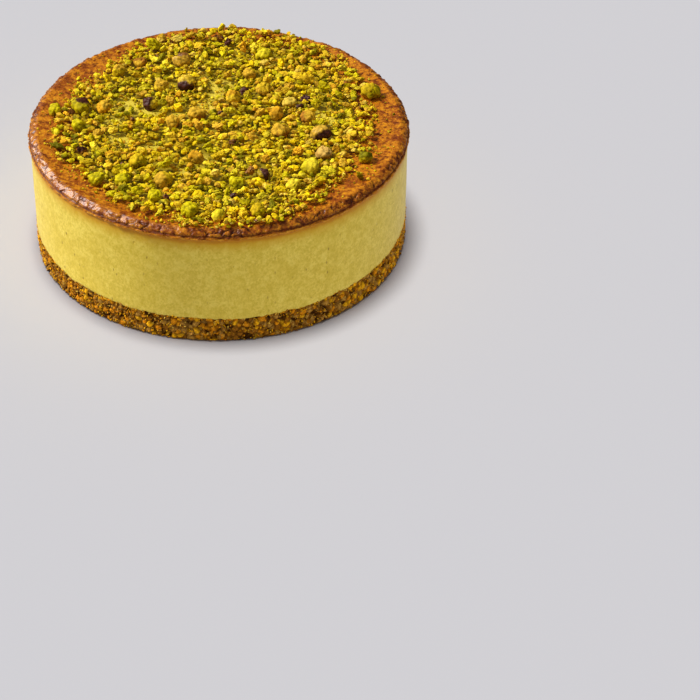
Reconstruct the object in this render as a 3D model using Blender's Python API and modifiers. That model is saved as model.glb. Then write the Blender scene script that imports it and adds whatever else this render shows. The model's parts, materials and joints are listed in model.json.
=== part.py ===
# A whole, uncut pistachio cheesecake, baked in a round tin: a pressed crumb base, a tall filling
# whose top has browned and risen into a rounded rim, and the largest chopped nuts of its topping.
# Metres, +Z up. The origin is on the table under the middle of the cake, and -Y is its front.

import math
import random

import bmesh
import bpy
from mathutils import Matrix, Vector, noise

# The cake as a whole
CAKE_RADIUS = 0.1005
CREST_HEIGHT = 0.0687
BASE_HEIGHT = 0.0138
TURN_STEPS = 96
TURN_MERGE = 0.00005
TOUCHING_GAP = 0.0003
SHARP_ANGLE = 40

# The slow unevenness that the tin and the oven leave around the cake: (share, waves, phase)
TIN_WAVES = ((0.5, 2, 0.7), (0.3, 5, 2.1), (0.2, 9, 4.0))

# The filling: a top that sinks behind its risen rim, the rounded rim, and the wall under it
WALL_RADIUS = 0.0993
CREST_RADIUS = 0.0955
RIM_DROP = 0.0030
LIP_DROP = 0.0020
DISH_DEPTH = 0.0015
DISH_POWER = 6
DISH_RINGS = 8
RIM_POINTS = 5
WALL_RINGS = 5
RIM_WAVE = 0.0004
RIM_WAVE_START = 0.6
RIM_WAVE_FULL = 0.95
WALL_WAVE = 0.0002

# The crumb base
BASE_RADIUS = 0.0994
BASE_EDGE = 0.0012
BASE_RINGS = 6
CRUMB_RELIEF = 0.0008
CRUMB_GRAIN = 0.006

# The chopped nuts: how wide and tall each is for its length, how rough it is, and how it broke
NUT_WIDTH = (0.78, 0.92)
NUT_HEIGHT = (0.60, 0.74)
NUT_LUMPS = 0.16
NUT_LUMP_GRAIN = 0.4
NUT_FOOT = 0.72
BREAK_DEPTH = (0.62, 0.80)
BREAK_TILT = (-0.1, 0.9)
NUT_SEEDS_APART = 90.0
NUT_MERGE = 0.0002
NUT_GAP = 0.0004

# How many broken faces each kind of nut has, and its colour
BROKEN_FACES = {"roasted": 2, "skinned": 1, "green": 1, "pale": 4}
NUT_COLOURS = {
    "roasted": (0.45, 0.28, 0.08),
    "skinned": (0.16, 0.06, 0.05),
    "green": (0.22, 0.30, 0.03),
    "pale": (0.48, 0.48, 0.08),
}

# Each large nut as (kind, distance from the cake's middle in mm, bearing in degrees, length in mm).
# A bearing of 0 faces the front and grows towards the right.
NUTS = (
    ("roasted", 73, -145, 8.5),
    ("skinned", 64, -162, 10.5),
    ("skinned", 41, -155, 11.5),
    ("skinned", 41, -117, 10.0),
    ("roasted", 50, 160, 8.5),
    ("pale", 70, 158, 10.0),
    ("roasted", 39, 141, 10.5),
    ("roasted", 85, 106, 11.0),
    ("skinned", 55, 74, 12.0),
    ("roasted", 14, -119, 10.5),
    ("roasted", 24, 161, 10.0),
    ("roasted", 31, 102, 9.0),
    ("roasted", 25, -89, 9.5),
    ("roasted", 47, 92, 9.5),
    ("roasted", 34, 71, 11.0),
    ("roasted", 62, -28, 11.0),
    ("roasted", 56, -49, 10.0),
    ("green", 59, 8, 10.0),
    ("pale", 66, 45, 11.5),
    ("pale", 72, 31, 9.0),
    ("green", 84, 63, 8.5),
    ("roasted", 63, 58, 10.5),
    ("green", 85, -11, 10.5),
    ("pale", 87, -1, 8.5),
    ("green", 87, 12, 9.5),
    ("skinned", 55, 23, 8.5),
    ("green", 75, -102, 11.5),
    ("roasted", 63, -105, 10.0),
    ("roasted", 75, -134, 9.0),
    ("green", 82, -50, 9.5),
    ("green", 73, -43, 9.5),
    ("pale", 77, -26, 10.0),
    ("roasted", 47, -139, 9.0),
    ("roasted", 41, 114, 8.5),
    ("roasted", 36, -21, 9.0),
    ("green", 74, -88, 9.0),
    ("green", 88, -99, 9.0),
)


def clear_scene():
    for thing in list(bpy.data.objects):
        bpy.data.objects.remove(thing)


def new_collection(name):
    collection = bpy.data.collections.new(name)
    bpy.context.scene.collection.children.link(collection)
    return collection


def food_material(name, colour, roughness):
    material = bpy.data.materials.new(name)
    material.use_nodes = True
    shader = material.node_tree.nodes["Principled BSDF"]
    shader.inputs["Base Color"].default_value = (*colour, 1.0)
    shader.inputs["Roughness"].default_value = roughness
    shader.inputs["Metallic"].default_value = 0.0
    return material


def smooth_step(t):
    t = min(max(t, 0.0), 1.0)
    return t * t * (3.0 - 2.0 * t)


def tin_wave(angle):
    # Between -1 and 1, all the way round.
    return sum(share * math.sin(waves * angle + phase) for share, waves, phase in TIN_WAVES)


def dish_height(radius):
    # The top is nearly flat in the middle and climbs to the rim's crest near the edge.
    return CREST_HEIGHT - DISH_DEPTH * (1.0 - min(radius / CREST_RADIUS, 1.0) ** DISH_POWER)


def rim_share(radius):
    # How much of the rim's unevenness reaches this far in.
    share = radius / CAKE_RADIUS
    return smooth_step((share - RIM_WAVE_START) / (RIM_WAVE_FULL - RIM_WAVE_START))


def top_height(x, y):
    radius = math.hypot(x, y)
    return dish_height(radius) + RIM_WAVE * tin_wave(math.atan2(y, x)) * rim_share(radius)


def filling_profile():
    # From the middle of the dished top out over the rounded rim, down the wall and back under.
    points = []
    for i in range(DISH_RINGS + 1):
        radius = CREST_RADIUS * math.sin(math.pi / 2.0 * i / DISH_RINGS)
        points.append((radius, dish_height(radius)))
    for i in range(1, RIM_POINTS + 1):
        turn = math.pi / 2.0 * i / RIM_POINTS
        radius = CREST_RADIUS + (CAKE_RADIUS - CREST_RADIUS) * math.sin(turn)
        points.append((radius, CREST_HEIGHT - RIM_DROP * (1.0 - math.cos(turn))))
    wall_top = CREST_HEIGHT - RIM_DROP - LIP_DROP
    wall_bottom = BASE_HEIGHT + TOUCHING_GAP
    for i in range(WALL_RINGS + 1):
        points.append((WALL_RADIUS, wall_top + (wall_bottom - wall_top) * i / WALL_RINGS))
    points.append((0.0, wall_bottom))
    return points


def base_profile():
    # A flat disc with a small slanted edge above and below.
    points = [(0.0, BASE_HEIGHT), (BASE_RADIUS - BASE_EDGE, BASE_HEIGHT)]
    for i in range(BASE_RINGS + 1):
        share = i / BASE_RINGS
        height = BASE_HEIGHT - BASE_EDGE / 2.0 - (BASE_HEIGHT - BASE_EDGE) * share
        points.append((BASE_RADIUS, height))
    points += [(BASE_RADIUS - BASE_EDGE, 0.0), (0.0, 0.0)]
    return points


def turned_mesh(name, profile):
    # Sweeps a profile at +X, given top to bottom, right round the Z axis.
    outline = bpy.data.meshes.new(name + "_profile")
    edges = [(i, i + 1) for i in range(len(profile) - 1)]
    outline.from_pydata([(r, 0.0, z) for r, z in profile], edges, [])
    holder = bpy.data.objects.new(name + "_profile", outline)
    bpy.context.scene.collection.objects.link(holder)
    screw = holder.modifiers.new("Turn", "SCREW")
    screw.steps = TURN_STEPS
    screw.render_steps = TURN_STEPS
    screw.use_merge_vertices = True
    screw.merge_threshold = TURN_MERGE
    graph = bpy.context.evaluated_depsgraph_get()
    mesh = bpy.data.meshes.new_from_object(holder.evaluated_get(graph))
    mesh.name = name
    bpy.data.objects.remove(holder)
    return mesh


def add_part(name, mesh, material, collection):
    mesh.materials.clear()
    mesh.materials.append(material)
    mesh.shade_smooth()
    mesh.set_sharp_from_angle(angle=math.radians(SHARP_ANGLE))
    part = bpy.data.objects.new(name, mesh)
    collection.objects.link(part)
    return part


def make_filling(collection):
    mesh = turned_mesh("filling", filling_profile())
    for vertex in mesh.vertices:
        x, y, z = vertex.co
        radius = math.hypot(x, y)
        wave = tin_wave(math.atan2(y, x))
        if z > CREST_HEIGHT / 2.0:
            vertex.co.z += RIM_WAVE * wave * rim_share(radius)
        if radius > CREST_RADIUS:
            swell = 1.0 + WALL_WAVE * wave / CAKE_RADIUS
            vertex.co.x *= swell
            vertex.co.y *= swell
    colour = food_material("baked_filling", (0.62, 0.52, 0.16), 0.6)
    return add_part("filling", mesh, colour, collection)


def make_base(collection):
    mesh = turned_mesh("crumb_base", base_profile())
    for vertex in mesh.vertices:
        x, y, z = vertex.co
        radius = math.hypot(x, y)
        if radius > BASE_RADIUS - BASE_EDGE / 2.0:
            push = 1.0 + CRUMB_RELIEF * noise.noise(Vector((x, y, z)) / CRUMB_GRAIN) / radius
            vertex.co.x *= push
            vertex.co.y *= push
    colour = food_material("baked_crumb", (0.30, 0.14, 0.03), 0.85)
    return add_part("crumb_base", mesh, colour, collection)


def nut_points(length, kind, rng):
    # Corner points of one chopped nut, lying flat with its foot at z = 0.
    width = length * rng.uniform(*NUT_WIDTH)
    height = length * rng.uniform(*NUT_HEIGHT)
    shift = Vector([rng.uniform(0.0, NUT_SEEDS_APART) for _ in range(3)])
    body = bmesh.new()
    bmesh.ops.create_icosphere(body, subdivisions=2, radius=0.5)
    for vertex in body.verts:
        vertex.co *= 1.0 + NUT_LUMPS * noise.noise(vertex.co / NUT_LUMP_GRAIN + shift)
        vertex.co = Vector((vertex.co.x * length, vertex.co.y * width, vertex.co.z * height))
    cuts = [(Vector((0.0, 0.0, -1.0)), NUT_FOOT * height / 2.0)]
    for _ in range(BROKEN_FACES[kind]):
        turn = rng.uniform(0.0, 2.0 * math.pi)
        normal = Vector((math.cos(turn), math.sin(turn), rng.uniform(*BREAK_TILT)))
        cuts.append((normal.normalized(), rng.uniform(*BREAK_DEPTH) * length / 2.0))
    for normal, depth in cuts:
        bmesh.ops.bisect_plane(
            body,
            geom=body.verts[:] + body.edges[:] + body.faces[:],
            plane_co=normal * depth,
            plane_no=normal,
            clear_outer=True,
        )
    turned = Matrix.Rotation(rng.uniform(0.0, 2.0 * math.pi), 3, "Z")
    points = [turned @ vertex.co for vertex in body.verts]
    body.free()
    foot = min(point.z for point in points)
    return [point - Vector((0.0, 0.0, foot)) for point in points]


def hull_mesh(name, points):
    hull = bmesh.new()
    for point in points:
        hull.verts.new(point)
    bmesh.ops.remove_doubles(hull, verts=hull.verts[:], dist=NUT_MERGE)
    made = bmesh.ops.convex_hull(hull, input=hull.verts[:])
    unused = set(made["geom_interior"]) | set(made["geom_unused"])
    loose = [item for item in unused if isinstance(item, bmesh.types.BMVert)]
    bmesh.ops.delete(hull, geom=loose, context="VERTS")
    bmesh.ops.recalc_face_normals(hull, faces=hull.faces[:])
    mesh = bpy.data.meshes.new(name)
    hull.to_mesh(mesh)
    hull.free()
    return mesh


def make_nut(number, kind, distance, bearing, length, material, collection):
    # The nut rests where its foot first meets the filling's top.
    turn = math.radians(bearing)
    x = distance * math.sin(turn)
    y = -distance * math.cos(turn)
    points = nut_points(length, kind, random.Random(number))
    rise = max(top_height(x + point.x, y + point.y) - point.z for point in points)
    name = f"nut_{kind}_{number:02d}"
    nut = add_part(name, hull_mesh(name, points), material, collection)
    nut.location = (x, y, rise + NUT_GAP)
    return nut


def make_nuts(collection):
    coats = {
        kind: food_material("nut_" + kind, colour, 0.6) for kind, colour in NUT_COLOURS.items()
    }
    for number, (kind, distance, bearing, length) in enumerate(NUTS, start=1):
        make_nut(
            number, kind, distance / 1000.0, bearing, length / 1000.0, coats[kind], collection
        )


def main():
    clear_scene()
    cake = new_collection("baked_cheesecake")
    make_base(cake)
    make_filling(cake)
    make_nuts(cake)


main()
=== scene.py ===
# Whole baked cheesecake: pressed crumb base, pale filling with a browned rim, chopped green nuts on top
import json
import math
import bmesh
import bpy
import numpy as np
from mathutils import Matrix, Vector

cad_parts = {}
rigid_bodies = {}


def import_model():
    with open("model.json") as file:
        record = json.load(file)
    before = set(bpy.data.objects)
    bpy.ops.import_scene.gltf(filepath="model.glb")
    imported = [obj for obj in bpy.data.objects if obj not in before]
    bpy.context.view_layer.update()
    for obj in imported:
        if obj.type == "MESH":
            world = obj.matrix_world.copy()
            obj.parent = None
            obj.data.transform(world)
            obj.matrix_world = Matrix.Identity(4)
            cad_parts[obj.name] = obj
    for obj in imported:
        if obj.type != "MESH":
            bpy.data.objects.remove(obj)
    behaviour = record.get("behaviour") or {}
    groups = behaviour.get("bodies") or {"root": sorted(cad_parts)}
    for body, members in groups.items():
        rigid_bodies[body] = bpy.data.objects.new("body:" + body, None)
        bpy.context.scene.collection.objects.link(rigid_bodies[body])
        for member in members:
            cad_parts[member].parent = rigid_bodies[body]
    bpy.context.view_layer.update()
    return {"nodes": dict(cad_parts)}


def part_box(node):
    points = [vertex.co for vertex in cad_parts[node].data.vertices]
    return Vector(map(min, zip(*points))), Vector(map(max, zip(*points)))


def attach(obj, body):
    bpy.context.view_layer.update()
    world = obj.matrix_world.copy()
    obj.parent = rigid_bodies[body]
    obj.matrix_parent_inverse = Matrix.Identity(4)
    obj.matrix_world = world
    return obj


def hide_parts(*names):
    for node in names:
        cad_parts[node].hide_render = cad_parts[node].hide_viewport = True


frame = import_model()
mm = 0.001  # shapes are worked out in millimetres and written in metres

fillingLow, fillingHigh = [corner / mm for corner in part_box("filling")]
baseLow, baseHigh = [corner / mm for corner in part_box("crumb_base")]
rimRadius = fillingHigh.x
rimHeight = fillingHigh.z
wallRadius = baseHigh.x
baseTop = baseHigh.z


# Patterns: steady random numbers on a lattice, so that every run gives the same cake
def latticeRandom(cells, seed):
    mixed = cells[..., 0] * 73856093 ^ cells[..., 1] * 19349663 ^ cells[..., 2] * 83492791
    mixed = (mixed ^ seed * 977231) & 0xFFFFFFFF
    mixed = ((mixed ^ mixed >> 15) * 739982445) & 0xFFFFFFFF
    mixed = ((mixed ^ mixed >> 12) * 695872825) & 0xFFFFFFFF
    return (mixed ^ mixed >> 15) / 4294967295.0


def softNoise(points, scale, seed):  # -1 to 1
    place = np.asarray(points, float) / scale
    cell = np.floor(place).astype(np.int64)
    part = place - cell
    part = part * part * (3 - 2 * part)
    total = np.zeros(len(place))
    for corner in np.ndindex(2, 2, 2):
        share = np.prod(np.where(np.array(corner), part, 1 - part), axis=-1)
        total += share * latticeRandom(cell + np.array(corner), seed)
    return total * 2 - 1


def roughNoise(points, scale, seed, octaves=3):  # finer and fainter layers on top of each other
    total = np.zeros(len(points))
    for octave in range(octaves):
        total += softNoise(points, scale / 2.1 ** octave, seed + octave * 17) * 0.55 ** octave
    return total / 1.6


def cellPattern(points, scale, seed):  # distances to the two nearest spots, the nearest's number and offset
    place = np.asarray(points, float) / scale
    home = np.floor(place).astype(np.int64)
    nearest = np.full(len(place), 9.0)
    second = np.full(len(place), 9.0)
    number = np.zeros(len(place))
    offset = np.zeros((len(place), 3))
    for step in np.ndindex(3, 3, 3):
        cell = home + np.array(step) - 1
        spot = cell + np.stack([latticeRandom(cell, seed + k) for k in range(3)], -1)
        away = place - spot
        gap = np.linalg.norm(away, axis=-1)
        closer = gap < nearest
        second = np.where(closer, nearest, np.minimum(second, gap))
        number = np.where(closer, latticeRandom(cell, seed + 3), number)
        offset = np.where(closer[:, None], away, offset)
        nearest = np.where(closer, gap, nearest)
    return nearest, second, number, offset * scale


def smoothStep(value, low, high):
    part = np.clip((value - low) / (high - low), 0, 1)
    return part * part * (3 - 2 * part)


# Materials: one class for a socket, one for the material around it
class Wire:
    def __init__(self, finish, socket):
        self.finish = finish
        self.socket = socket

    def maths(self, operation, *values):
        return self.finish.node("ShaderNodeMath", {"operation": operation}, dict(enumerate(values)))

    def __add__(self, other):
        return self.maths("ADD", self, other)

    def __sub__(self, other):
        return self.maths("SUBTRACT", self, other)

    def __mul__(self, other):
        return self.maths("MULTIPLY", self, other)

    def __truediv__(self, other):
        return self.maths("DIVIDE", self, other)

    def __pow__(self, other):
        return self.maths("POWER", self, other)

    def __radd__(self, other):
        return self.maths("ADD", other, self)

    def __rsub__(self, other):
        return self.maths("SUBTRACT", other, self)

    def __rmul__(self, other):
        return self.maths("MULTIPLY", other, self)

    def clamp(self):
        return self.maths("MAXIMUM", self.maths("MINIMUM", self, 1.0), 0.0)

    def step(self, low, high):  # 0 below low, 1 above high, smooth between
        settings = {"interpolation_type": "SMOOTHSTEP"}
        return self.finish.node("ShaderNodeMapRange", settings, {0: self, 1: low, 2: high})


class Finish:
    def __init__(self, name, roughness=0.6, specular=0.3, coat=0.0, coatRoughness=0.2, subsurface=0.0):
        self.material = bpy.data.materials.new(name)
        self.material.use_nodes = True
        self.tree = self.material.node_tree
        self.shader = self.tree.nodes["Principled BSDF"]
        self.shader.inputs["Roughness"].default_value = roughness
        self.shader.inputs["Specular IOR Level"].default_value = specular
        self.shader.inputs["Coat Weight"].default_value = coat
        self.shader.inputs["Coat Roughness"].default_value = coatRoughness
        self.shader.inputs["Subsurface Weight"].default_value = subsurface

    def node(self, kind, settings=None, values=None, out=0):
        made = self.tree.nodes.new(kind)
        for name, value in (settings or {}).items():
            setattr(made, name, value)
        for name, value in (values or {}).items():
            if isinstance(value, Wire):
                self.tree.links.new(value.socket, made.inputs[name])
            else:
                made.inputs[name].default_value = value
        return Wire(self, made.outputs[out])

    def mark(self, name, out="Fac"):  # a value or colour stored on the mesh
        return self.node("ShaderNodeAttribute", {"attribute_name": name}, out=out)

    def place(self):
        return self.node("ShaderNodeTexCoord", out="Object")

    def stretch(self, vector, x, y, z):
        settings = {"operation": "MULTIPLY"}
        return self.node("ShaderNodeVectorMath", settings, {0: vector, 1: (x, y, z)})

    def grain(self, vector, size, detail=3.0, roughness=0.55):  # size in metres
        values = {"Vector": vector, "Scale": 1 / size, "Detail": detail, "Roughness": roughness}
        return self.node("ShaderNodeTexNoise", None, values)

    def cells(self, vector, size, feature="F1"):
        values = {"Vector": vector, "Scale": 1 / size}
        return self.node("ShaderNodeTexVoronoi", {"feature": feature}, values)

    def blend(self, share, first, second, how="MIX"):
        settings = {"data_type": "RGBA", "blend_type": how}
        values = {0: share, 6: paint(first), 7: paint(second)}
        return self.node("ShaderNodeMix", settings, values, out=2)

    def bump(self, height, strength, distance, under=None):
        values = {"Height": height, "Strength": strength, "Distance": distance}
        if under:
            values["Normal"] = under
        return self.node("ShaderNodeBump", None, values)

    def feed(self, **sockets):
        for name, wire in sockets.items():
            label = {"color": "Base Color", "roughness": "Roughness", "normal": "Normal", "coat": "Coat Weight"}
            self.tree.links.new(wire.socket, self.shader.inputs[label[name]])
        return self.material


def paint(colour):
    return colour if isinstance(colour, Wire) else (*colour, 1.0)


# Meshes from arrays
def makePiece(name, points, faces, material, smooth=True, marks=None):
    mesh = bpy.data.meshes.new(name)
    faces = np.asarray(faces, np.int32)
    mesh.vertices.add(len(points))
    mesh.vertices.foreach_set("co", np.asarray(points, np.float32).ravel() * mm)
    mesh.loops.add(faces.size)
    mesh.loops.foreach_set("vertex_index", faces.ravel())
    mesh.polygons.add(len(faces))
    mesh.polygons.foreach_set("loop_start", np.arange(len(faces), dtype=np.int32) * faces.shape[1])
    mesh.update(calc_edges=True)
    mesh.validate()
    for label, values in (marks or {}).items():
        values = np.asarray(values, np.float32)
        if values.ndim == 1:
            mesh.attributes.new(label, "FLOAT", "POINT").data.foreach_set("value", values)
        else:
            rgba = np.concatenate([values, np.ones((len(values), 1), np.float32)], axis=1)
            mesh.attributes.new(label, "FLOAT_COLOR", "POINT").data.foreach_set("color", rgba.ravel())
    mesh.polygons.foreach_set("use_smooth", np.full(len(faces), smooth))
    mesh.materials.append(material)
    piece = bpy.data.objects.new(name, mesh)
    bpy.context.scene.collection.objects.link(piece)
    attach(piece, "root")
    return piece


def turnedMesh(radii, heights):  # rings of points, closed by a fan at each end; both arrays are rings x around
    rings, around = radii.shape
    turn = np.arange(around) * 2 * math.pi / around
    points = np.stack([radii * np.sin(turn), -radii * np.cos(turn), heights], -1).reshape(-1, 3)
    ring, side = np.meshgrid(np.arange(rings - 1), np.arange(around), indexing="ij")
    a = (ring * around + side).ravel()
    b = (ring * around + (side + 1) % around).ravel()
    quads = np.stack([a, b, b + around, a + around], -1)
    triangles = np.concatenate([quads[:, [0, 1, 2]], quads[:, [0, 2, 3]]])
    low = np.append(points, [[0, 0, heights[0].mean()], [0, 0, heights[-1].mean()]], axis=0)
    edge = np.arange(around)
    after = (edge + 1) % around
    bottom = np.stack([after, edge, np.full(around, len(points))], -1)
    last = (rings - 1) * around
    top = np.stack([edge + last, after + last, np.full(around, len(points) + 1)], -1)
    return low, np.concatenate([triangles, bottom, top])


def withEnds(values):  # a ring array as one value for each point of turnedMesh, with its two middle points
    return np.append(values.reshape(-1), [values[0].mean(), values[-1].mean()])


def smoothThrough(points, spacing):  # a Catmull-Rom curve through the points, at even steps
    points = np.asarray(points, float)
    padded = np.concatenate([[2 * points[0] - points[1]], points, [2 * points[-1] - points[-2]]])
    fine = []
    for k in range(1, len(padded) - 2):
        p, q, r, s = padded[k - 1:k + 3]
        for t in np.linspace(0, 1, 24, endpoint=False):
            fine.append(q + 0.5 * t * (r - p + t * (2 * p - 5 * q + 4 * r - s + t * (3 * (q - r) + s - p))))
    fine = np.array(fine + [points[-1]])
    length = np.append(0, np.cumsum(np.linalg.norm(np.diff(fine, axis=0), axis=1)))
    steps = np.linspace(0, length[-1], int(round(length[-1] / spacing)) + 1)
    return np.stack([np.interp(steps, length, fine[:, k]) for k in range(2)], -1)


# The filling: pale wall, browned lip, crackled bead and the flat browned ring inside it
filling = {
    "segments": 1120,
    "topDip": 1.5,           # how much lower the middle is than the rim
    "crestRadius": rimRadius - 5.0,
    "crackSize": 4.8,        # mm between the creases across the bead
    "crackDepth": 0.45,
    "facetTilt": 0.13,       # how steeply a facet of the bead may lean
    "beadLumps": 0.5,
    "lipLumps": 0.85,
    "wallWaves": 0.22,
    "boundaryWave": 0.7,     # how far the base's upper edge wanders
}

brownEdge = ((0, 83), (45, 74), (90, 73), (135, 81), (180, 86), (225, 78), (270, 75), (315, 79))


def aroundTable(table, bearing):  # a smooth closed curve through (bearing in degrees, value)
    angles = np.radians([row[0] for row in table])
    values = np.array([row[1] for row in table], float)
    bearing = np.asarray(bearing)
    gap = np.cos(bearing[..., None] - angles)
    weight = np.exp(14 * (gap - 1))
    return (weight * values).sum(-1) / weight.sum(-1)


def topHeight(x, y):  # the filling's surface under the nuts
    radius = np.hypot(x, y)
    shape = np.shape(x)
    flat = np.stack([np.ravel(x), np.ravel(y), np.zeros(np.size(x))], -1)
    waves = roughNoise(flat, 14, 5).reshape(shape) * 0.3 + softNoise(flat, 3.5, 8).reshape(shape) * 0.09
    share = np.clip(radius / filling["crestRadius"], 0, 1)
    dish = rimHeight - 0.25 - filling["topDip"] * (1 - share ** 6)
    return dish + waves * (1 - smoothStep(radius, 86, 94))


barePatches = ((-48, 21, 10), (-54, 3, 8), (-51, -13, 8), (-9, 19, 7), (1, 39, 8), (-23, 9, 6), (55, 5, 9),
               (57, -13, 5), (-35, -21, 6), (-21, -45, 5), (-11, -33, 6), (-38, 12, 8), (-3, 30, 6))


def bareness(x, y):  # 1 where the pale top shows through the topping
    shape = np.shape(x)
    flat = np.stack([np.ravel(x), np.ravel(y), np.zeros(np.size(x))], -1)
    wander = softNoise(flat, 5, 93).reshape(shape) * 0.3
    bare = np.zeros(shape)
    for patchX, patchY, size in barePatches:
        gap = np.hypot(x - patchX, y - patchY) / size + wander
        bare = np.maximum(bare, 1 - smoothStep(gap, 0.5, 1.2))
    return bare


def boundaryHeight(bearing):  # where the filling meets the base
    circle = np.stack([np.sin(bearing) * wallRadius, -np.cos(bearing) * wallRadius, np.zeros_like(bearing)], -1)
    lift = smoothStep(np.cos(bearing - math.radians(80)), 0.2, 1.0) * 1.3
    wander = softNoise(circle, 9, 31) * 0.5 + softNoise(circle, 2.4, 32) * 0.7 + softNoise(circle, 1.2, 33) * 0.3
    return baseTop + 0.1 + lift + wander * filling["boundaryWave"]


def glazing(bearing):  # 1 along the smooth glossy stretch at the front left
    return smoothStep(np.cos(bearing + math.radians(60)), 0.78, 0.95)


def makeFilling():
    high = rimHeight
    outer = rimRadius
    rim = smoothThrough([
        (wallRadius - 0.1, high - 6.6), (wallRadius - 0.2, high - 5.6), (outer - 0.6, high - 5.0),
        (outer - 0.05, high - 4.3), (outer - 0.2, high - 3.5), (outer - 1.0, high - 2.9),
        (outer - 0.9, high - 2.2), (outer - 1.9, high - 1.25), (outer - 3.2, high - 0.45),
        (outer - 4.6, high), (outer - 5.9, high - 0.2), (outer - 7.4, high - 0.4)], 0.45)
    wall = [(wallRadius - 0.1, height) for height in np.linspace(baseTop + 1.5, high - 7.0, 12)]
    ring = [(radius, 0) for radius in np.arange(outer - 8.4, 80, -1.2)]
    top = [(radius, 0) for radius in np.arange(77.5, 1.0, -4.5)]
    profile = np.array([(60, 0), (wallRadius - 0.8, 0), (wallRadius - 0.1, 0.5)] + wall + list(rim) + ring + top)
    around = filling["segments"]
    turn = np.arange(around) * 2 * math.pi / around
    radii = np.repeat(profile[:, :1], around, axis=1)
    heights = np.repeat(profile[:, 1:], around, axis=1)

    edge = boundaryHeight(turn)
    heights[0] = baseTop - 1.0
    heights[1] = edge - 0.25
    heights[2] = edge + 0.35
    share = np.linspace(0, 1, len(wall))[:, None]
    firstWall = 3
    heights[firstWall:firstWall + len(wall)] = (edge + 1.2) * (1 - share) + (high - 7.0) * share
    rimStart = firstWall + len(wall)
    topStart = rimStart + len(rim)
    x = radii * np.sin(turn)
    y = -radii * np.cos(turn)
    heights[topStart:] = topHeight(x[topStart:], y[topStart:])

    lipEdge = rimStart + int(np.argmax(profile[rimStart:topStart, 1] > high - 5.35))
    across = np.zeros(len(profile))  # mm along the profile from the browned lip's lower edge
    for k in range(lipEdge + 1, topStart):
        across[k] = across[k - 1] + np.hypot(*(profile[k] - profile[k - 1]))
    across[topStart:] = across[topStart - 1] + (profile[topStart - 1, 0] - profile[topStart:, 0])
    for k in range(lipEdge - 1, 2, -1):
        across[k] = across[k + 1] - abs(profile[k + 1, 1] - profile[k, 1])
    across[:3] = across[3] - 1

    tangent = np.gradient(profile[rimStart - 2:topStart + 2], axis=0)
    normal = np.stack([tangent[:, 1], -tangent[:, 0]], -1)
    normal = (normal / np.linalg.norm(normal, axis=1)[:, None])[2:-2]

    s = np.repeat(across[rimStart:topStart, None], around, axis=1)
    circle = np.stack([np.sin(turn) * outer, -np.cos(turn) * outer], -1)
    spot = np.concatenate([np.broadcast_to(circle, (len(s), around, 2)), s[..., None]], -1).reshape(-1, 3)
    crackSpot = spot * (1, 1, 0.75)
    crackSpot += np.stack([softNoise(spot, 7, 61 + k) + softNoise(spot, 2.5, 64 + k) * 0.4 for k in range(3)], -1) * 1.8
    near, far, number, offset = cellPattern(crackSpot, filling["crackSize"], 41)
    fineNear, fineFar, fineNumber, _ = cellPattern(spot * (1, 1, 0.8), 1.9, 47)
    crack = 1 - smoothStep(far - near, 0.02, 0.16)
    fine = 1 - smoothStep(fineFar - fineNear, 0.0, 0.3)
    flat = spot[:, 2]
    onBead = smoothStep(flat, 2.6, 3.6) * (1 - smoothStep(flat, 6.4, 8.8))
    onLip = smoothStep(flat, -0.3, 0.5) * (1 - smoothStep(flat, 2.2, 3.1))
    allTurn = np.broadcast_to(turn, s.shape).reshape(-1)
    glazed = glazing(allTurn)
    patchy = 0.25 + 0.75 * smoothStep(softNoise(spot, 4.5, 52), -0.5, 0.4)
    lumps = roughNoise(spot, 7, 53) * filling["beadLumps"]
    along = offset[:, 0] * np.cos(allTurn) + offset[:, 1] * np.sin(allTurn)
    lean = number * 2 * math.pi * 7
    tilt = (along * np.cos(lean) + offset[:, 2] * np.sin(lean)) * filling["facetTilt"]
    crinkle = fine * 0.28 - (fineNumber - 0.5) * 0.3
    push = onBead * (lumps + tilt - crack * filling["crackDepth"] * patchy - crinkle * (1 - glazed) * patchy)
    push += onLip * (roughNoise(spot, 2.6, 55) * filling["lipLumps"] - fine * 0.25)
    push = push.reshape(s.shape)
    radii[rimStart:topStart] += push * normal[:, :1]
    heights[rimStart:topStart] += push * normal[:, 1:]

    ragged = softNoise(np.append(circle, np.zeros((around, 1)), axis=1), 1.9, 57) * 0.3
    ragged += softNoise(np.append(circle, np.zeros((around, 1)), axis=1), 5.5, 58) * 0.25
    for k in range(rimStart, topStart):
        heights[k] += ragged * float(np.exp(-((across[k] - 0.2) / 1.1) ** 2))
    wander = roughNoise(np.append(circle, np.zeros((around, 1)), axis=1), 34, 59) * 0.45
    for k in range(rimStart, len(profile)):
        heights[k] += wander * float(smoothStep(profile[k, 0], 90, 97))

    wallPoints = np.stack([x, y, heights], -1)[firstWall:rimStart].reshape(-1, 3)
    waves = roughNoise(wallPoints, 22, 71) * filling["wallWaves"] + softNoise(wallPoints, 5, 72) * 0.05
    radii[firstWall:rimStart] += waves.reshape(-1, around) * np.sin(np.linspace(0.25, 3.0, len(wall)))[:, None]

    # Painted shade in the bead's and lip's cracks and crinkles, stored as the crease mark
    creases = np.zeros_like(radii)
    crackShade = (crack * 0.8 + fine * 0.45 * (1 - glazed)) * np.maximum(onBead, onLip)
    creases[rimStart:topStart] = (crackShade * patchy).reshape(s.shape)
    acrossAll = np.repeat(across[:, None], around, axis=1)
    inner = np.zeros_like(radii)
    inner[:] = radii - aroundTable(brownEdge, turn)  # mm outside the browned ring's inner edge
    points, faces = turnedMesh(radii, heights)
    smoothGlaze = glazing(turn)
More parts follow.
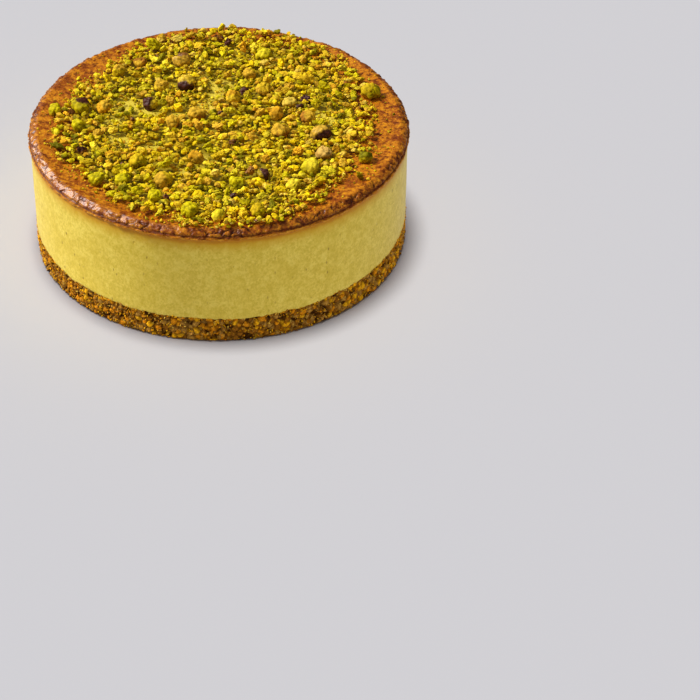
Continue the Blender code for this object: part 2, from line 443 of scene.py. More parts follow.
    # 1 where the topping covers the top; there the top is darker, for fine nut dust and for painted shade under the
    # crumbs
    bare = 1 - bareness(radii * np.sin(turn), -radii * np.cos(turn))
    marks = {"across": withEnds(acrossAll), "crease": withEnds(creases), "ringIn": withEnds(inner),
             "dustedAndShaded": withEnds(bare), "glazed": withEnds(np.broadcast_to(smoothGlaze, radii.shape))}
    piece = makePiece("bakedFilling", points, faces, fillingFinish(), marks=marks)
    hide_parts("filling")
    return piece


def fillingFinish():
    finish = Finish("bakedFilling", specular=0.1, coatRoughness=0.26)
    place = finish.place()
    across = finish.mark("across")
    crease = finish.mark("crease")
    ringIn = finish.mark("ringIn")
    broad = finish.grain(place, 0.02, 2)
    medium = finish.grain(place, 0.0045, 4, 0.6)
    small = finish.grain(place, 0.0011, 3, 0.6)
    streak = finish.grain(finish.stretch(place, 1, 1, 0.8), 0.0012, 4, 0.7)

    cream = finish.blend(streak.step(0.3, 0.7), (0.66, 0.475, 0.036), (0.87, 0.665, 0.105))
    cream = finish.blend(broad.step(0.42, 0.6) * 0.3, cream, (0.70, 0.50, 0.04))
    cream = finish.blend(medium.step(0.5, 0.62) * 0.35, cream, (0.60, 0.43, 0.028))
    cream = finish.blend((1 - medium.step(0.38, 0.48)) * 0.35, cream, (0.90, 0.71, 0.13))
    # Small dents in the wall, coloured darker: a brownish tone and painted shade in the dents
    pitPlace = finish.stretch(place, 1, 1, 0.5)
    pit = 1 - finish.cells(pitPlace, 0.0034).step(0.05, 0.2)
    pits = pit * finish.grain(place, 0.009, 2).step(0.46, 0.6)
    cream = finish.blend(pits * 0.8, cream, (0.36, 0.21, 0.012))
    fleck = finish.grain(finish.stretch(place, 1, 1, 0.5), 0.0007, 2).step(0.6, 0.72)
    cream = finish.blend(fleck * 0.4, cream, (0.52, 0.33, 0.02))

    # Darker towards the lip: partly the wall's toasting, partly painted shade under the lip's overhang, darkest in the
    # last 3 mm
    edge = across + (medium - 0.5) * 3.0
    toastedAndShaded = finish.blend(edge.step(-10.5, 0.0) ** 1.3, cream, (0.62, 0.33, 0.005))
    wallColour = finish.blend(edge.step(-3.2, 0.0) * 0.9, toastedAndShaded, (0.52, 0.20, 0.003))

    brownDeep = (0.085, 0.012, 0.001)
    brownMid = (0.25, 0.056, 0.002)
    brownLight = (0.46, 0.15, 0.003)
    patch = finish.grain(place, 0.0065, 5, 0.72)
    blot = finish.grain(place, 0.0026, 4, 0.7)
    brown = finish.blend(patch.step(0.42, 0.56), brownMid, brownLight)
    brown = finish.blend(blot.step(0.50, 0.62) * 0.85, brown, brownDeep)
    brown = finish.blend((1 - blot.step(0.36, 0.46)) * 0.6, brown, (0.66, 0.28, 0.006))
    brown = finish.blend(small.step(0.55, 0.70) * 0.6, brown, brownDeep)
    brown = finish.blend((1 - small.step(0.32, 0.42)) * 0.4, brown, brownLight)
    # Painted shade in the crease between the lip and the bead
    notchShade = across.step(2.1, 2.8) * (1 - across.step(2.9, 3.8))
    brown = finish.blend(notchShade * 0.75, brown, brownDeep)
    # Painted shade in the cracks and crinkles
    brown = finish.blend(crease.clamp() * 0.85, brown, (0.05, 0.006, 0.001))
    orangeLine = (across + (small - 0.5) * 1.2).step(-0.3, 0.2) * (1 - (across + (medium - 0.5) * 2).step(1.4, 2.4))
    lipTone = finish.blend(blot.step(0.4, 0.6), (0.50, 0.15, 0.004), (0.76, 0.34, 0.025))
    brown = finish.blend(orangeLine * 0.85, brown, lipTone)

    onLip = (across + (small - 0.5) * 1.0 + (medium - 0.5) * 1.2).step(-0.12, 0.12)
    topEdge = ringIn + (medium - 0.5) * 9 + (small - 0.5) * 4 + (broad - 0.5) * 6
    onTop = across.step(12.0, 13.0) * (1 - topEdge.step(-2.5, 2.5))
    topCream = finish.blend(streak.step(0.35, 0.65), (0.48, 0.36, 0.022), (0.66, 0.51, 0.055))
    # Under the topping the top is darkened: fine nut dust and painted shade between the crumbs
    topCream = finish.blend(finish.mark("dustedAndShaded") * 0.85, topCream, (0.22, 0.15, 0.003))
    colour = finish.blend(onLip, wallColour, brown)
    colour = finish.blend(onTop, colour, topCream)

    browned = onLip * (1 - onTop)
    roughness = 0.5 + (small - 0.5) * 0.25
    onBead = across.step(2.6, 3.6) * (1 - across.step(7.5, 9.5))
    wet = patch.step(0.45, 0.65)
    shine = 0.14 + finish.mark("glazed") * 0.42
    coat = browned * (onBead * shine + wet * 0.07) + (1 - onLip) * 0.22
    height = streak * 0.5 + finish.grain(place, 0.0004, 2) * 0.2 - pits * 1.2
    ringHeight = medium * 1.4 + small * 0.8
    height = height * (1 - browned) + browned * ringHeight * (1 - onBead * 0.7)
    normal = finish.bump(height, 0.55, 0.0005)
    return finish.feed(color=colour, roughness=roughness, coat=coat, normal=normal)


# The base: a pressed crumb core with loose-looking crumbs on its side
base = {
    "segments": 1000,
    "lumpSize": 3.2,
    "lumpDepth": 1.7,
    "coarseCount": 950,
    "goldenCount": 3300,
}

# The dark tone is the colour of shade between crumbs: painted shade on the deepest, recessed core cells, in the gaps
# and on some loose crumbs
biscuitTones = {
    "gapShade": (0.05, 0.014, 0.001),
    "brown": (0.34, 0.13, 0.010),
    "greyBrown": (0.50, 0.25, 0.04),
    "amber": (0.74, 0.27, 0.006),
    "golden": (0.95, 0.46, 0.008),
    "cream": (0.95, 0.60, 0.08),
}


def makeBaseCore():
    around = base["segments"]
    turn = np.arange(around) * 2 * math.pi / around
    rows = np.linspace(0, 1, 26)[:, None]
    top = boundaryHeight(turn) + 0.1
    sideHeights = 0.15 + rows * (top - 0.15)
    sideRadii = np.full_like(sideHeights, wallRadius - 0.35)
    corner = np.minimum(sideHeights, 1.0)
    sideRadii -= (1 - corner) ** 2 * 0.8
    points = np.stack([sideRadii * np.sin(turn), -sideRadii * np.cos(turn), sideHeights], -1).reshape(-1, 3)
    near, far, number, _ = cellPattern(points, base["lumpSize"], 81)
    fineNear, fineFar, fineNumber, _ = cellPattern(points, 1.15, 85)
    lump = (1 - near ** 2 * 1.3) * base["lumpDepth"] * 0.6 - (1 - smoothStep(far - near, 0, 0.25)) * 0.5
    push = lump + (number - 0.5) * 0.9 - fineNear * 0.6 - 0.6
    push *= smoothStep(points[:, 2], 0, 1.0)
    sideRadii += push.reshape(sideRadii.shape)
    radii = np.concatenate([np.full((1, around), 50.0), np.full((1, around), wallRadius - 2.2), sideRadii,
                            np.full((1, around), wallRadius - 3.0), np.full((1, around), 50.0)])
    heights = np.concatenate([np.zeros((2, around)), sideHeights, top[None] - 0.5, top[None] - 1.2])
    names = list(biscuitTones)
    tones = np.array([biscuitTones[name] for name in names])
    pick = np.digitize(number, (0.12, 0.42, 0.72, 0.9))
    colour = tones[pick] * (0.75 + 0.5 * fineNumber[:, None])
    # Painted shade in the gaps between the core's lumps
    gap = (1 - smoothStep(far - near, 0.02, 0.3))[:, None]
    colour = colour * (1 - gap * 0.7) + np.array(biscuitTones["gapShade"]) * gap * 0.5
    plain = np.tile(biscuitTones["brown"], (around * 2, 1))
    colour = np.concatenate([plain, colour, plain, [biscuitTones["brown"]] * 2])
    points, faces = turnedMesh(radii, heights)
    piece = makePiece("crumbBaseCore", points, faces, biscuitFinish(), marks={"tone": colour})
    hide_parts("crumb_base")


def biscuitFinish():
    finish = Finish("pressedBiscuit", roughness=0.75, specular=0.04)
    place = finish.place()
    fine = finish.grain(place, 0.0006, 3)
    medium = finish.grain(place, 0.002, 2)
    tone = finish.blend(fine.step(0.4, 0.7) * 0.5, finish.mark("tone", "Color"), (0.12, 0.045, 0.005))
    tone = finish.blend(medium.step(0.55, 0.75) * 0.35, tone, (0.55, 0.30, 0.03))
    normal = finish.bump(fine, 0.6, 0.0003)
    return finish.feed(color=tone, normal=normal)


# Lumps: a rounded solid inside a few planes, roughened; the same function makes nuts and crumbs
def sphereMesh(level):
    bm = bmesh.new()
    bmesh.ops.create_icosphere(bm, subdivisions=level, radius=1)
    points = np.array([vertex.co for vertex in bm.verts])
    faces = np.array([[vertex.index for vertex in face.verts] for face in bm.faces])
    bm.free()
    return points / np.linalg.norm(points, axis=1)[:, None], faces


spheres = {level: sphereMesh(level) for level in (1, 2, 3, 4, 5)}


def softHull(directions, normals, reaches, sharpness):
    facing = np.maximum(directions @ normals.T, 0) / reaches
    return np.sum(facing ** sharpness, axis=1) ** (-1 / sharpness)


def randomTurn(rng):
    quaternion = rng.normal(size=4)
    quaternion /= np.linalg.norm(quaternion)
    w, x, y, z = quaternion
    return np.array([
        [1 - 2 * (y * y + z * z), 2 * (x * y - z * w), 2 * (x * z + y * w)],
        [2 * (x * y + z * w), 1 - 2 * (x * x + z * z), 2 * (y * z - x * w)],
        [2 * (x * z - y * w), 2 * (y * z + x * w), 1 - 2 * (x * x + y * y)]])


def lumpShape(rng, level, planes, sharpness, roughness):  # one unit across its longest way, with its shading
    directions, faces = spheres[level]
    normals = rng.normal(size=(planes, 3))
    normals = np.concatenate([normals, -normals + rng.normal(size=(planes, 3)) * 0.6])
    normals /= np.linalg.norm(normals, axis=1)[:, None]
    reaches = rng.uniform(0.5, 1.0, len(normals))
    reach = softHull(directions, normals, reaches, sharpness)
    seed = int(rng.integers(1, 9999))
    points = directions * np.minimum(reach, 1.3)[:, None]
    swell = roughNoise(points + 7, 0.7, seed) * roughness
    near, far, _, _ = cellPattern(points + 7, 0.5, seed + 5)
    crease = 1 - smoothStep(far - near, 0, 0.25)
    swell -= (near * 0.5 + crease * 0.4) * roughness
    points = points * (1 + swell)[:, None]
    shade = 1 - crease * 0.3 + (swell - swell.mean()) * 0.8
    return points / np.ptp(points, axis=0).max(), faces, shade


# The nuts that have a solid of their own
nutTones = {
    "brick": (0.44, 0.18, 0.016), "tan": (0.74, 0.43, 0.026), "yellowTan": (0.84, 0.54, 0.018),
    "greenTan": (0.70, 0.47, 0.008), "pinkTan": (0.86, 0.52, 0.11), "paleTan": (0.88, 0.61, 0.07),
    "orangeTan": (0.80, 0.40, 0.014), "olive": (0.46, 0.32, 0.003), "green": (0.52, 0.40, 0.002),
    "brightGreen": (0.68, 0.55, 0.003), "deepGreen": (0.24, 0.20, 0.002), "paleGreen": (0.82, 0.65, 0.016),
    "lemon": (0.94, 0.72, 0.028), "yellow": (0.90, 0.62, 0.004), "purple": (0.085, 0.022, 0.012),
    "brown": (0.24, 0.09, 0.012),
}

# Where the second tone is a darker copy of the first set low on the front, away from the key light (deepGreen under
# brightGreen; green under greenTan, paleGreen or lemon; brick or brown under tan; tan under paleTan), it is painted
# shade; purple seconds are the nut's skin
nutLooks = {  # tone, second tone, and where the second tone lies: direction and share
    "nut_roasted_01": ("brick", "tan", (-0.5, -0.6, -0.3), 0.35),
    "nut_skinned_02": ("tan", "brown", (0.2, 0.5, 0.8), 0.25),
    "nut_skinned_03": ("yellowTan", "purple", (-0.15, -0.7, -0.65), 0.48),
    "nut_skinned_04": ("purple", "greenTan", (0.85, -0.3, 0.1), 0.25),
    "nut_roasted_05": ("tan", "greenTan", (0.6, 0.3, 0.2), 0.3),
    "nut_pale_06": ("paleGreen", "green", (0.3, -0.6, -0.5), 0.4),
    "nut_roasted_07": ("tan", "yellowTan", (0, 0, 1), 0.3),
    "nut_roasted_08": ("greenTan", "green", (0.5, -0.5, -0.4), 0.4),
    "nut_skinned_09": ("tan", "purple", (0.45, -0.65, -0.6), 0.45),
    "nut_roasted_10": ("tan", "brick", (0.3, -0.4, -0.5), 0.25),
    "nut_roasted_11": ("yellowTan", "orangeTan", (0, 0.3, 0.8), 0.3),
    "nut_roasted_12": ("tan", "orangeTan", (-0.4, 0, 0.5), 0.3),
    "nut_roasted_13": ("tan", "brown", (0.5, -0.4, -0.5), 0.2),
    "nut_roasted_14": ("tan", "brick", (-0.8, -0.2, 0), 0.2),
    "nut_roasted_15": ("tan", "brick", (0.2, -0.5, -0.4), 0.25),
    "nut_roasted_16": ("tan", "greenTan", (0.7, 0.2, 0.2), 0.35),
    "nut_roasted_17": ("greenTan", "green", (0.5, -0.4, -0.2), 0.35),
    "nut_green_18": ("brightGreen", "deepGreen", (0.2, -0.5, -0.6), 0.3),
    "nut_pale_19": ("lemon", "paleGreen", (-0.6, 0.1, -0.2), 0.35),
    "nut_pale_20": ("lemon", "green", (0.2, -0.6, -0.5), 0.25),
    "nut_green_21": ("green", "deepGreen", (-0.2, 0.3, 0.6), 0.5),
    "nut_roasted_22": ("pinkTan", "tan", (0.3, -0.3, -0.5), 0.3),
    "nut_green_23": ("brightGreen", "green", (0.4, -0.4, -0.4), 0.35),
    "nut_pale_24": ("lemon", "paleGreen", (0, 0, 1), 0.3),
    "nut_green_25": ("greenTan", "green", (0.2, -0.5, -0.3), 0.45),
    "nut_skinned_26": ("olive", "purple", (0.5, 0.1, 0.3), 0.5),
    "nut_green_27": ("green", "purple", (0.5, 0.4, 0.5), 0.25),
    "nut_roasted_28": ("orangeTan", "tan", (0, 0, 1), 0.3),
    "nut_roasted_29": ("greenTan", "tan", (0, 0.4, 0.6), 0.4),
    "nut_roasted_33": ("yellowTan", "tan", (0, 0, 1), 0.3),
    "nut_roasted_34": ("paleTan", "tan", (0, -0.5, -0.5), 0.3),
    "nut_roasted_35": ("tan", "orangeTan", (0, 0, 1), 0.3),
}


nutRelief = {"swell": 1.15, "chips": 10, "chipDepth": (0.86, 0.98), "sharpness": 30, "lumps": 0.5, "grain": 0.2,
             "creases": 0.5}


def toneOf(points, centre, first, second, direction, share, seed):
    lean = (points - centre) / np.linalg.norm(points - centre, axis=1)[:, None]
    facing = lean @ (np.array(direction) / np.linalg.norm(direction))
    facing = facing + roughNoise(points, 3.0, seed) * 0.55
    edge = 1 - 2 * share
    mask = smoothStep(facing, edge - 0.12, edge + 0.12)[:, None]
    return np.array(nutTones[first]) * (1 - mask) + np.array(nutTones[second]) * mask


def nutFromNode(name, node):
    mesh = node.data
    corners = np.array([vertex.co for vertex in mesh.vertices]) / mm
    planes = []
    for polygon in mesh.polygons:
        normal = np.array(polygon.normal)
        planes.append(np.append(normal, normal @ corners[polygon.vertices[0]]))
    planes = np.unique(np.round(planes, 2), axis=0)
    planes = planes[np.linalg.norm(planes[:, :3], axis=1) > 0.5]
    centre = corners.mean(0)
    directions, faces = spheres[4]
    normals = planes[:, :3]
    reaches = planes[:, 3] - normals @ centre
    seed = int(name[-2:]) * 13
    rng = np.random.default_rng(seed)
    chips = rng.normal(size=(nutRelief["chips"], 3))
    chips /= np.linalg.norm(chips, axis=1)[:, None]
    depth = rng.uniform(*nutRelief["chipDepth"], len(chips))
    normals = np.concatenate([normals, chips])
    reaches = np.concatenate([reaches, softHull(chips, planes[:, :3], reaches, 40) * depth])
    length = softHull(directions, normals, reaches, nutRelief["sharpness"])
    points = centre + directions * length[:, None] * nutRelief["swell"]
    swell = roughNoise(points, 2.8, seed) * nutRelief["lumps"] + softNoise(points, 1.1, seed + 3) * nutRelief["grain"]
    near, far, number, _ = cellPattern(points, 3.2, seed + 7)
    crease = 1 - smoothStep(far - near, 0, 0.22)
    swell += (number - 0.5) * 0.5 - crease * nutRelief["creases"]
    points = points + directions * swell[:, None]
    low = points[:, 2].min()
    points[:, 2] -= (1 - smoothStep(points[:, 2], low, low + 2.5)) * 0.9  # the foot sinks into the filling
    look = nutLooks.get(name, ("green", "brightGreen", (0, 0, 1), 0.4))
    colour = toneOf(points, centre, *look, seed + 11)
    shade = 1 + roughNoise(points, 1.8, seed + 19) * 0.25 + swell * 0.3 - crease * 0.25
    return points, faces, colour * shade[:, None]


def nutFinish(name, roughness, specular, bumpStrength):
    finish = Finish(name, roughness=roughness, specular=specular)
    place = finish.place()
    fine = finish.grain(place, 0.0005, 3)
    medium = finish.grain(place, 0.0016, 3)
    tone = finish.mark("tone", "Color")
    tone = finish.blend(medium.step(0.45, 0.75) * 0.4, tone, finish.blend(1.0, tone, (0.62, 0.5, 0.35), "MULTIPLY"))
    tone = finish.blend(fine.step(0.55, 0.75) * 0.3, tone, finish.blend(1.0, tone, (0.8, 0.75, 0.5), "MULTIPLY"))
    normal = finish.bump(fine * 0.6 + medium, bumpStrength, 0.0005)
    return finish.feed(color=tone, normal=normal)


def joinLumps(lumps):  # lists of (points, faces, colours) into one set of arrays
    starts = np.cumsum([0] + [len(points) for points, _, _ in lumps])
    points = np.concatenate([lump[0] for lump in lumps])
    faces = np.concatenate([lump[1] + start for lump, start in zip(lumps, starts)])
    colours = np.concatenate([lump[2] for lump in lumps])
    return points, faces, colours


class HeightMap:  # how high the topping stands already, so that the next crumb comes to rest on it
    def __init__(self, reach, cell):
        self.cell = cell
        self.half = int(reach / cell)
        line = np.arange(-self.half, self.half + 1) * cell
        self.x, self.y = np.meshgrid(line, line, indexing="ij")
        self.top = topHeight(self.x, self.y)
        self.ground = self.top.copy()
        self.taken = np.zeros(self.top.shape, bool)  # under the big nuts, which stay clean

    def cover(self, points):
        index = np.rint(points[:, :2] / self.cell).astype(int) + self.half
        np.maximum.at(self.top, (index[:, 0], index[:, 1]), points[:, 2])
        raised = self.top - self.ground > 1.2
        for across in (-1, 0, 1):
            for along in (-1, 0, 1):
                self.taken |= np.roll(raised, (across, along), (0, 1))

    def drop(self, x, y, radius, depth, limit):  # the resting height, or None where it would lie too high
        i = int(round(x / self.cell)) + self.half
        j = int(round(y / self.cell)) + self.half
        if self.top[i, j] - self.ground[i, j] > limit + 1:
            return None
        span = max(1, int(math.ceil(radius / self.cell)))
        window = (slice(i - span, i + span + 1), slice(j - span, j + span + 1))
        gap = ((self.x[window] - x) ** 2 + (self.y[window] - y) ** 2) / radius ** 2
        inside = gap < 1
        local = self.top[window]
        under = local[inside]
        if under.size == 0:
            under = local[span:span + 1, span]
        if self.taken[window][gap < 0.6].any():
            return None
        mean = under.mean()
        rest = mean + 0.4 * (under.max() - mean) - 0.1 * depth
        if rest - self.ground[i, j] > limit:
            return None
        dome = rest + depth * np.sqrt(np.maximum(1 - gap, 0))
        self.top[window] = np.where(inside, np.maximum(local, dome), local)
        return rest + depth * 0.5


def makeNuts(heightMap):
    kinds = {
        "nutsRoasted": ("nut_roasted", nutFinish("roastedNut", 0.65, 0.04, 0.6)),
        "nutsSkinned": ("nut_skinned", nutFinish("skinnedNut", 0.5, 0.2, 0.5)),
        "nutsGreen": ("nut_green", nutFinish("greenNut", 0.6, 0.05, 0.5)),
        "nutsPale": ("nut_pale", nutFinish("paleNut", 0.62, 0.05, 0.4)),
    }
    for name, (slot, material) in kinds.items():
        nodes = [node for node in sorted(frame["nodes"]) if node.startswith(slot)]
        lumps = [nutFromNode(node, frame["nodes"][node]) for node in nodes]
        points, faces, colours = joinLumps(lumps)
        heightMap.cover(points)
        piece = makePiece(name, points, faces, material, marks={"tone": colours})
        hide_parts(*nodes)
    return {slot: material for slot, material in kinds.values()}


# The chopped nut topping
topping = {
    "seed": 11,
    "edgeFade": 5.0,         # mm over which the carpet thins out at its edge
    "cell": 0.4,             # mm of the height map
    "driftSize": 16,         # mm over which one kind of nut gives way to another
    "drift": 1.1,
}

carpetEdge = ((0, 95), (15, 96), (30, 89), (45, 76), (60, 76), (75, 82), (90, 77), (105, 78), (120, 84),
              (135, 87), (150, 90), (165, 91), (180, 92), (195, 89), (210, 84), (225, 79), (240, 78),
              (255, 79), (268, 92), (282, 84), (300, 83), (315, 82), (330, 85), (345, 93))

# size class: smallest and largest in mm, how many are thrown, sphere level, how it keeps to the carpet, how high
# it may lie, and how often it strays onto the browned ring
crumbClasses = (
    ("chunk", 6.6, 9.5, 150, 3, 1.0, 1.0, 0.0),
    ("large", 5.0, 7.2, 560, 3, 1.0, 1.6, 0.0),
    ("medium", 3.6, 5.2, 1900, 2, 0.9, 2.2, 0.0),
    ("lesser", 2.4, 3.8, 2900, 2, 0.75, 2.2, 0.01),
    ("small", 1.6, 2.6, 4200, 1, 0.5, 2.0, 0.05),
    ("fine", 1.0, 1.6, 5600, 1, 0.3, 1.9, 0.2),
    ("dust", 0.5, 1.0, 6500, 1, 0.1, 1.7, 0.34),
)

# single larger pieces: distance from the middle in mm, bearing, size in mm, and tone
chosenPieces = (
    (32, -126, 7.5, "tan"), (12, -63, 8, "tan"), (45, 132, 7, "tan"), (22, 105, 7.5, "tan"), (38, 93, 7, "tan"),
    (51, 52, 8, "orangeTan"), (59, 29, 8, "greenTan"), (52, 17, 7.5, "brick"), (75, 47, 8.5, "paleGreen"),
    (90, 52, 7, "olive"), (34, -1, 8, "greenTan"), (67, -51, 8, "green"), (44, 13, 8, "paleGreen"),
    (36, 79, 8, "tan"), (50, 113, 7, "purple"), (64, -81, 8, "tan"), (79, 27, 8, "lemon"), (74, -31, 8, "green"),
    (7, -3, 8, "tan"), (25, 45, 8, "tan"), (72, -92, 7.5, "paleGreen"), (80, -88, 7, "greenTan"),
    (86, -86, 6, "green"), (68, -100, 7, "green"))

# kind: material slot, share, tones
crumbKinds = {
    "Green": ("nut_green", 0.33, ("green", "brightGreen", "olive", "brightGreen", "paleGreen", "deepGreen")),
    "Pale": ("nut_pale", 0.36, ("lemon", "yellow", "paleGreen", "yellow", "yellowTan")),
    "Roasted": ("nut_roasted", 0.295, ("tan", "yellowTan", "orangeTan", "greenTan", "yellowTan", "paleTan")),
    "Skin": ("nut_skinned", 0.015, ("brown", "purple", "brick")),
}


def carpetDensity(x, y, looseness, stray):
    bearing = np.arctan2(x, -y)
    radius = np.hypot(x, y)
    edge = aroundTable(carpetEdge, bearing)
    flat = np.stack([x, y, np.zeros_like(x)], -1)
    fade = topping["edgeFade"] + 9 * (1 - looseness)
    density = 1 - smoothStep(radius + softNoise(flat, 6, 91) * 3, edge - fade * 0.6, edge + fade)
    density = density * (1 - bareness(x, y) * (0.6 + 0.37 * looseness))
    clump = 0.35 + 0.65 * smoothStep(softNoise(flat, 11, 94) * 0.6 + softNoise(flat, 5, 95) * 0.7, -0.35, 0.4)
    strayed = stray * (1 - smoothStep(radius, 86, 97)) * smoothStep(softNoise(flat, 7, 97), -0.6, 0.6)
    return np.maximum(density * clump, strayed)


def dropCrumbs(heightMap, rng):
    crumbs = []
    for reach, bearing, size, tone in chosenPieces:
        x = reach * math.sin(math.radians(bearing))
        y = -reach * math.cos(math.radians(bearing))
        shape = rng.uniform((0.9, 0.75, 0.7), (1.0, 0.95, 0.9))
        height = heightMap.drop(x, y, size * 0.42, size * shape[2], 9.0)
        if height is not None:
            crumbs.append((x, y, height, size, shape, 4, tone))
    for label, small, large, thrown, level, looseness, limit, stray in crumbClasses:
        x = rng.uniform(-97, 97, thrown * 4)
        y = rng.uniform(-97, 97, thrown * 4)
        keep = (rng.random(len(x)) < carpetDensity(x, y, looseness, stray)) & (np.hypot(x, y) < 96.5)
        for px, py in list(zip(x[keep], y[keep]))[:thrown]:
            size = small + (large - small) * rng.random() ** 1.5
            shape = rng.uniform((0.85, 0.65, 0.5), (1.0, 0.95, 0.85))
            height = heightMap.drop(px, py, size * 0.42, size * shape[2], limit)
            if height is not None:
                crumbs.append((px, py, height, size, shape, level, None))
    return crumbs


def kindOf(tone):  # the kind of crumb that has this tone
    for kind, (slot, share, tones) in crumbKinds.items():
        if tone in tones:
            return kind
    return "Roasted"


def makeCrumbs(heightMap, materials):
    rng = np.random.default_rng(topping["seed"])
    planeCounts = (4, 5, 6, 7, 5, 6, 4, 8, 5, 4)
    shapes = {level: [lumpShape(rng, level, planes, 12, roughness) for planes in planeCounts]
              for level, roughness in ((1, 0.2), (2, 0.26), (3, 0.34), (4, 0.34))}
    crumbs = dropCrumbs(heightMap, rng)
    kinds = list(crumbKinds)
    shares = np.array([crumbKinds[kind][1] for kind in kinds])
    where = np.array([(x, y, 0) for x, y, *_ in crumbs])
    drift = np.stack([softNoise(where, topping["driftSize"], 60 + k) for k in range(len(kinds))], -1)
    heaps = {size + kind: [] for kind in kinds for size in ("chopped", "grit")}
    for k, (x, y, z, size, shape, level, chosen) in enumerate(crumbs):
        if chosen:
            kind = kindOf(chosen)
            first = second = np.array(nutTones[chosen])
        else:
            odds = shares * np.exp(drift[k] * topping["drift"])
            kind = kinds[rng.choice(len(kinds), p=odds / odds.sum())]
            tones = crumbKinds[kind][2]
            first, second = [np.array(nutTones[tones[rng.integers(len(tones))]]) for _ in range(2)]
        points, faces, shade = shapes[level][rng.integers(len(planeCounts))]
        turned = (points @ randomTurn(rng).T) * shape
        mask = smoothStep(points[:, 0] + points[:, 1] * 0.4, 0.0, 0.2)[:, None]
        colour = (first * (1 - mask) + second * mask) * rng.uniform(0.75, 1.12)
        lit = shade * (1 + (turned[:, 2] - turned[:, 2].mean()) * 0.4)
        lump = (turned * size + (x, y, z), faces, colour * lit[:, None])
        heaps[("chopped" if level > 2 else "grit") + kind].append(lump)
    for name, heap in heaps.items():
        points, faces, colours = joinLumps(heap)
        slot = crumbKinds[name.replace("chopped", "").replace("grit", "")][0]
        print(name, len(heap), "crumbs", len(faces), "triangles")
        makePiece(name, points, faces, materials[slot], smooth=False, marks={"tone": colours})


# Base crumbs
def makeBaseCrumbs(name, count, small, large, level, tones, seed, edgeShare, stand):
    rng = np.random.default_rng(seed)
    shapes = [lumpShape(rng, level, planes, 8, 0.3) for planes in (4, 5, 6, 7, 5, 6)]
    lumps = []
    names = [tone for tone, share in tones]
    shares = np.array([share for tone, share in tones])
    for _ in range(count):
        bearing = rng.uniform(0, 2 * math.pi)
        size = small + (large - small) * rng.random() ** 1.5
        top = float(boundaryHeight(np.array([bearing]))[0])
        height = rng.uniform(size * 0.3, top - size * 0.3)
        if rng.random() < edgeShare:
            height = top + rng.normal() * 0.45 - 0.1
        points, faces, shade = shapes[rng.integers(len(shapes))]
        points = (points * rng.uniform((0.75, 0.6, 0.5), (1.0, 1.0, 0.8))) @ randomTurn(rng).T * size
        radius = wallRadius - 0.25 - size * (0.5 - stand) + rng.normal() * 0.18
        centre = (radius * math.sin(bearing), -radius * math.cos(bearing), height)
        points = points + centre
        points[:, 2] = np.maximum(points[:, 2], 0.02)
        tone = np.array(biscuitTones[names[rng.choice(len(names), p=shares / shares.sum())]])
        lumps.append((points, faces, tone * shade[:, None] * rng.uniform(0.7, 1.3)))
    points, faces, colours = joinLumps(lumps)
    print(name, count, "crumbs", len(faces), "triangles")
    makePiece(name, points, faces, biscuitFinish(), smooth=False, marks={"tone": colours})


# Floor, lights and camera
studio = {
    "floorTone": (0.60, 0.59, 0.615),
    "worldTone": (0.97, 0.98, 1.0),
    "worldStrength": 0.12,
    # name: strength, elevation, bearing, angle across in degrees, and what it lights
    "keyLight": (4.35, 46, 256, 9, "cake"),
    "glossLight": (6.5, 42, 250, 45, "cake"),
    "skyLight": (0.5, 80, 250, 150, "cake"),
    "wallLight": (0.62, 75, 240, 150, "sides"),
    "sideLight": (0.85, 10, 50, 70, "sides"),
    "floorLight": (3.0, 86, 238, 17, "floor"),
}


def makeFloor():
    finish = Finish("paleFloor", roughness=0.9, specular=0.0)
    place = finish.place()
    tone = finish.blend(finish.grain(place, 0.01, 2) * 0.02, studio["floorTone"], (0.6, 0.6, 0.62))
    half = 1600.0
    points = [(-half, -half, 0), (half, -half, 0), (half, half, 0), (-half, half, 0)]
    mesh = bpy.data.meshes.new("paleFloor")
    mesh.from_pydata([Vector(point) * mm for point in points], [], [(0, 1, 2, 3)])
    mesh.materials.append(finish.feed(color=tone))
    floor = bpy.data.objects.new("paleFloor", mesh)
    bpy.context.scene.collection.objects.link(floor)
    return floor


def makeSun(name, strength, elevation, bearing, angle, receivers, seenBy):
    light = bpy.data.lights.new(name, "SUN")
    light.energy = strength
    light.angle = math.radians(angle)
    sun = bpy.data.objects.new(name, light)
    bpy.context.scene.collection.objects.link(sun)
    level = math.radians(elevation)
    turn = math.radians(bearing)
    towards = Vector((math.sin(turn) * math.cos(level), -math.cos(turn) * math.cos(level), math.sin(level)))
    sun.rotation_euler = towards.to_track_quat("Z", "Y").to_euler()
    sun.light_linking.receiver_collection = receivers
    sun.visible_diffuse = seenBy != "gloss"
    sun.visible_glossy = seenBy != "diffuse"


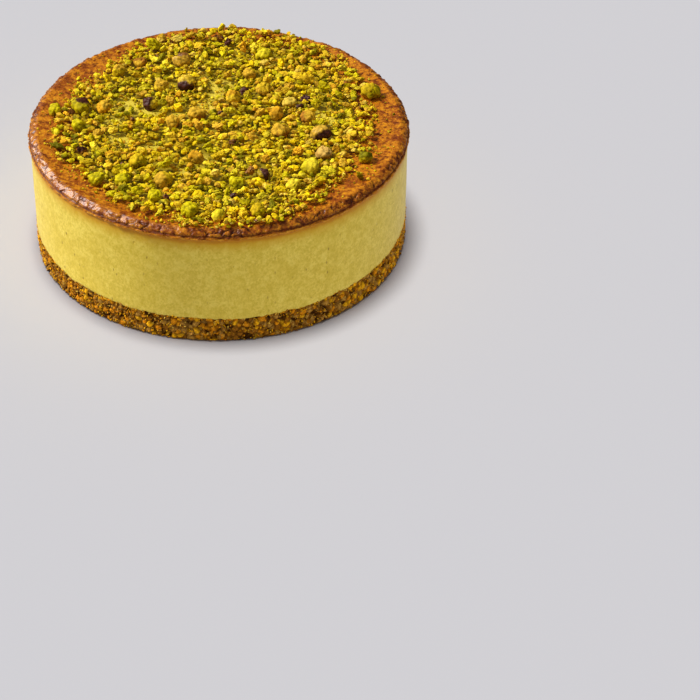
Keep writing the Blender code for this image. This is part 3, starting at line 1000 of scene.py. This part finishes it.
def makeStudio(floor):
    world = bpy.data.worlds.new("studio")
    world.use_nodes = True
    world.node_tree.nodes["Background"].inputs["Color"].default_value = (*studio["worldTone"], 1)
    world.node_tree.nodes["Background"].inputs["Strength"].default_value = studio["worldStrength"]
    bpy.context.scene.world = world
    lit = {name: bpy.data.collections.new("lit" + name.title()) for name in ("cake", "sides", "floor")}
    for piece in bpy.context.scene.collection.objects:
        if piece.type == "MESH":
            lit["floor" if piece == floor else "cake"].objects.link(piece)
            if piece.name.startswith(("baked", "crumbBase", "baseCrumbs")):
                lit["sides"].objects.link(piece)
    for name in ("keyLight", "glossLight", "skyLight", "wallLight", "sideLight", "floorLight"):
        strength, elevation, bearing, angle, receivers = studio[name]
        seenBy = "gloss" if name == "glossLight" else "diffuse"  # one soft light gives all the shine
        makeSun(name, strength, elevation, bearing, angle, lit[receivers], seenBy)
    bpy.context.scene.view_settings.view_transform = "Standard"


camera = {"distance": 1.2926, "elevation": 34.35, "aim": 0.033, "yaw": 3.798, "pitch": 38.458, "roll": 0.826,
          "focalPixels": 2396.7, "imagePixels": 700, "sensor": 36.0}


def makeCamera():
    lens = bpy.data.cameras.new("camera")
    lens.sensor_width = camera["sensor"]
    lens.lens = camera["focalPixels"] * camera["sensor"] / camera["imagePixels"]
    viewer = bpy.data.objects.new("camera", lens)
    bpy.context.scene.collection.objects.link(viewer)
    yaw, pitch, roll = [math.radians(camera[name]) for name in ("yaw", "pitch", "roll")]
    forward = Vector((math.sin(yaw) * math.cos(pitch), math.cos(yaw) * math.cos(pitch), -math.sin(pitch)))
    right = Vector((math.cos(yaw), -math.sin(yaw), 0))
    up = right.cross(forward)
    level = math.radians(camera["elevation"])
    place = Vector((0, -math.cos(level), math.sin(level))) * camera["distance"] + Vector((0, 0, camera["aim"]))
    side = right * math.cos(roll) + up * math.sin(roll)
    above = up * math.cos(roll) - right * math.sin(roll)
    turn = Matrix((side, above, -forward)).transposed().to_4x4()
    viewer.matrix_world = Matrix.Translation(place) @ turn
    bpy.context.scene.camera = viewer


makeCamera()
floor = makeFloor()
print("camera and floor")
makeFilling()
print("filling")
makeBaseCore()
goldenTones = (("golden", 4), ("amber", 2.5), ("cream", 1.5), ("brown", 1.5))
# The dark crumbs among these are painted shade
coarseTones = (("brown", 4), ("greyBrown", 4), ("amber", 1.5), ("gapShade", 1), ("golden", 1))
makeBaseCrumbs("baseCrumbsCoarse", base["coarseCount"], 1.8, 4.2, 2, coarseTones, 3, 0.06, 0.24)
makeBaseCrumbs("baseCrumbsGolden", base["goldenCount"], 0.6, 1.9, 1, goldenTones, 4, 0.26, 0.42)
print("base")
heightMap = HeightMap(100, topping["cell"])
nutMaterials = makeNuts(heightMap)
print("nuts")
makeCrumbs(heightMap, nutMaterials)
makeStudio(floor)
print("lights")
